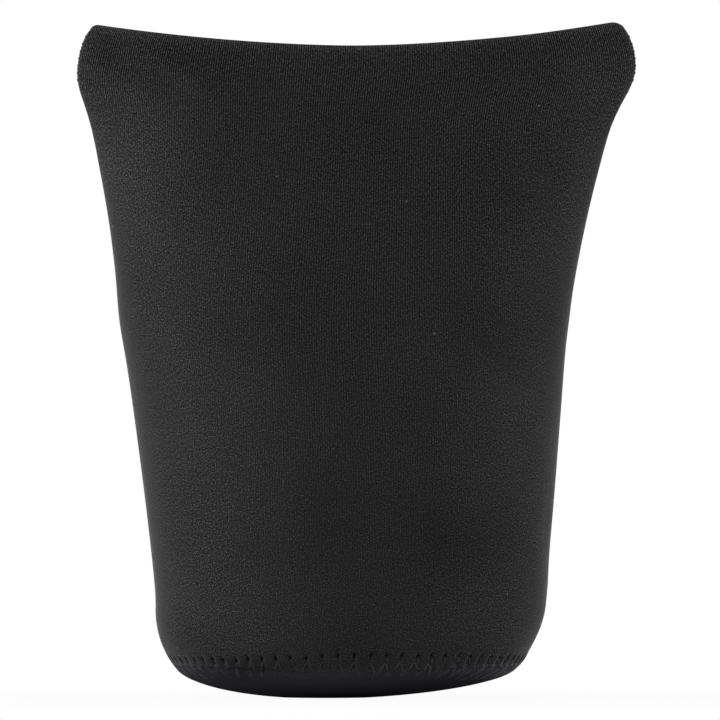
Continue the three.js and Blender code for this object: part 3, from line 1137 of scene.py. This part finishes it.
# %% Thread finish
FIBRE_SCALE, RUBBED_SCALE = 4200.0, 500.0
SEAM_TOP = 12 * MM
BARED = 0.7
FADED_LEAST, THREAD_LEFT_SHADE, FADED_MOST = 0.18, 0.16, 0.82
thread_finish, start = finish("black_spun_thread")
inside = start.node("TexCoord", give=OBJECT_PLACE)
fibre = noise(inside, FIBRE_SCALE, 2.0)
fading = ramp(noise(inside, RUBBED_SCALE, 1.0), (0.36, 0.6), (0.2, 1.0))
aside = start.node("SeparateXYZ", None, {0: inside})
height = start.node("SeparateXYZ", None, {0: inside}, give=2)
in_seam = start.math("LESS_THAN", height, SEAM_TOP)
# Painted light towards both ends of the base seam, and painted shade in its left half
right_painted_light = ramp(aside, (16 * MM, 32 * MM), (0.1, 1.3), "LINEAR")
left_light_and_shade = ramp(aside, (-16 * MM, -30 * MM), (-0.25, 0.6), "LINEAR")
left_painted_shade = ramp(aside, (-4 * MM, 6 * MM), (1.0, 0.0), "LINEAR")
bared_and_lit = BARED + in_seam * (right_painted_light + left_light_and_shade * left_painted_shade)
faded_and_lit = FADED_LEAST - THREAD_LEFT_SHADE * in_seam * left_painted_shade + FADED_MOST * fibre * fading * bared_and_lit
sockets = {
    "Base Color": tinted(faded_and_lit, (0.012, 0.012, 0.0145, 1), (0.078, 0.076, 0.092, 1)),
    "Roughness": 0.75 - 0.2 * fibre,
    "Normal": bumped(fibre, SMALL_BUMP, SMALL_BUMP_HEIGHT),
    "Specular IOR Level": SMALL_SHINE,
}
give_surface(start, start.node("BsdfPrincipled", None, sockets))
print(thread_finish.name, len(thread_finish.node_tree.nodes), "nodes")

# %% [markdown]
# ## Who moves with what
# The front of the wall bends between the pouch and its front lip, and the back between the pouch and its
# back lip. Everything else stays with the pouch.

# %% How a piece is dressed and bent
FLEX_FOOT, FLEX_TOP = 46 * MM, 132 * MM


def dress(piece, material, slot, *nodes):
    piece.data.materials.clear()
    piece.data.materials.append(material)
    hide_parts(*nodes)


def bend(piece, lip):
    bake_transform(piece, "pouch", lip, (0, 0, FLEX_FOOT), (0, 0, FLEX_TOP))
    places = np.array([vert.co for vert in piece.data.vertices]) / MM
    x, z = places[:, 0] - sway(places[:, 2]), places[:, 2]
    hollow = half_width(z) - LINING_BACK * crowding(z)
    share = np.clip(np.abs(x) / hollow, 0, 1)
    blend = piece.data.attributes["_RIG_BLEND"].data
    weight = np.array([point.value for point in blend]) * (1 - share**2)
    blend.foreach_set("value", weight.astype(np.float32))


print("the wall bends from", round(FLEX_FOOT / MM), "to", round(FLEX_TOP / MM), "mm up")

# %% Bodies, replaced solids and finishes
WALL_LAYERS = [
    ("face", "wall_knit", wall_knit),
    ("foam", "foam", foam_finish),
    ("lining", "lining_knit", lining_knit),
]
BASE_LAYERS = [("face", "base_knit", base_knit), *WALL_LAYERS[1:]]
FIXED_THREADS = [
    (needle_bars, "base_needle_thread"),
    (looper_loops, "base_looper_thread"),
    (left_ear, "left_corner_tack"),
    (right_ear, "right_corner_tack"),
]
for piece, (layer, slot, material) in zip(wall["front"], WALL_LAYERS):
    dress(piece, material, slot, "body_" + layer, "front_lip_" + layer)
    bend(piece, "front_lip")
for piece, (layer, slot, material) in zip(wall["back"], WALL_LAYERS):
    dress(piece, material, slot, "body_" + layer, "back_lip_left_" + layer, "back_lip_right_" + layer)
    bend(piece, "back_lip")
for piece, (layer, slot, material) in zip(base, BASE_LAYERS):
    dress(piece, material, slot, "base_" + layer)
    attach(piece, "pouch")
for piece, node in FIXED_THREADS:
    dress(piece, thread_finish, "thread", node)
    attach(piece, "pouch")
dress(back_seam, thread_finish, "thread", "back_seam_thread", "back_lip_seam_thread")
bend(back_seam, "back_lip")
print("bent pieces", [piece.name for piece in (*wall["front"], *wall["back"], back_seam)])

# %% [markdown]
# ## Cloth and padding
# The knit of each half was cut 134 mm wide and 141 mm tall, and the base from a disc of 82 mm.

# %% [markdown]
# ## The studio
# The background is white to the camera only, so that it doesn't light the cloth, and the floor keeps a
# trace of shadow close to the pouch. Both ask whether they are seen directly, in a mirror or through
# glass, and are a plain surface or a weak fill for all other light.

# %% Floor and world
FLOOR_HALF, FLOOR_SINK = 4, 0.0002
SHADOW_REACH, SHADOW_SHARE = (0.05, 0.2), (0.95, 1.0)
WHITE = (1, 1, 1, 1)
FILL = 0.06


def seen_directly(start):
    camera = start.node("LightPath")
    glossy = start.node("LightPath", give=3)
    through = start.node("LightPath", give=6)
    return start.math("MAXIMUM", start.math("MAXIMUM", camera, glossy), through)


bm = bmesh.new()
bmesh.ops.create_grid(bm, x_segments=1, y_segments=1, size=FLOOR_HALF)
bmesh.ops.translate(bm, verts=bm.verts[:], vec=(0, 0, -FLOOR_SINK))
floor = new_piece("floor", bm)
floor_paint, start = finish("pale_floor")
matte = start.node("BsdfDiffuse", None, {"Color": (0.82, 0.82, 0.82, 1)})
white = start.node("Emission", None, {"Color": WHITE, "Strength": 1.0})
spot = start.node("TexCoord", give=OBJECT_PLACE)
away = start.node("VectorMath", {"operation": "LENGTH"}, {0: spot}, give=1)
shown = seen_directly(start) * ramp(away, SHADOW_REACH, SHADOW_SHARE)
give_surface(start, start.node("MixShader", None, {0: shown, 1: matte, 2: white}))
floor.data.materials.append(floor_paint)

world = bpy.data.worlds.new("studio")
bpy.context.scene.world = world
world.use_nodes = True
world.node_tree.nodes.clear()
start = Strand(world.node_tree)
fill = start.node("Background", None, {"Color": WHITE, "Strength": FILL})
white = start.node("Background", None, {"Color": WHITE, "Strength": 1.0})
sky = start.node("MixShader", None, {0: seen_directly(start), 1: fill, 2: white})
end = world.node_tree.nodes.new("ShaderNodeOutputWorld")
world.node_tree.links.new(sky.socket, end.inputs["Surface"])
print("floor and world", floor.name, world.name)

# %% [markdown]
# Black cloth needs broad, soft light from the sides to show its form at all. Two large lamps stand left
# and right, the left one stronger, a weak one hangs above, and one behind lights the back.

# %% Lamps
LIT = (0, 0, 0.07)
# Name, place and size in metres, and power in watts
LAMPS = [
    ("left_softbox", (-1.17, -0.25, 0.18), (0.7, 0.34), 22.2),
    ("right_softbox", (1.17, -0.27, 0.18), (0.7, 0.34), 15.0),
    ("top_softbox", (0, -0.6, 1.2), (1.0, 0.8), 2.2),
    ("back_softbox", (0, 1.3, 0.25), (0.9, 0.4), 12.0),
]


def softbox(name, place, size, power):
    lamp = bpy.data.lights.new(name, "AREA")
    lamp.shape = "RECTANGLE"
    lamp.size, lamp.size_y = size
    lamp.energy = power
    holder = bpy.data.objects.new(name, lamp)
    holder.location = place
    x, y, z = np.array(LIT) - np.array(place)
    holder.rotation_mode = "XYZ"
    holder.rotation_euler = (math.atan2(math.hypot(x, y), -z), 0, math.atan2(-x, y))
    bpy.context.scene.collection.objects.link(holder)


for lamp in LAMPS:
    softbox(*lamp)
print("lamps", [lamp[0] for lamp in LAMPS])

# %% [markdown]
# ## The camera
# The pouch was photographed square on with a long lens, about level with its lower part: the row of base
# stitches is straight and no inside of the mouth shows. A camera 1.5 m away does the same.

# %% Camera
EYE, AIM = (2.2, -1500.0, 30.0), (2.2, 0.0, 74.1)
FRAME_WIDTH, SENSOR = 158.4, 36.0
distance = math.dist(EYE, AIM)
lens = bpy.data.cameras.new("camera")
lens.sensor_width = SENSOR
lens.lens = SENSOR * distance / FRAME_WIDTH
lens.clip_start, lens.clip_end = 0.05, 30.0
camera = bpy.data.objects.new("camera", lens)
camera.location = [value * MM for value in EYE]
camera.rotation_euler = (math.pi / 2 + math.atan2(AIM[2] - EYE[2], AIM[1] - EYE[1]), 0, 0)
bpy.context.scene.collection.objects.link(camera)
bpy.context.scene.camera = camera
bpy.context.scene.view_settings.view_transform = "Standard"
print("lens", round(lens.lens), "mm at", round(distance), "mm")
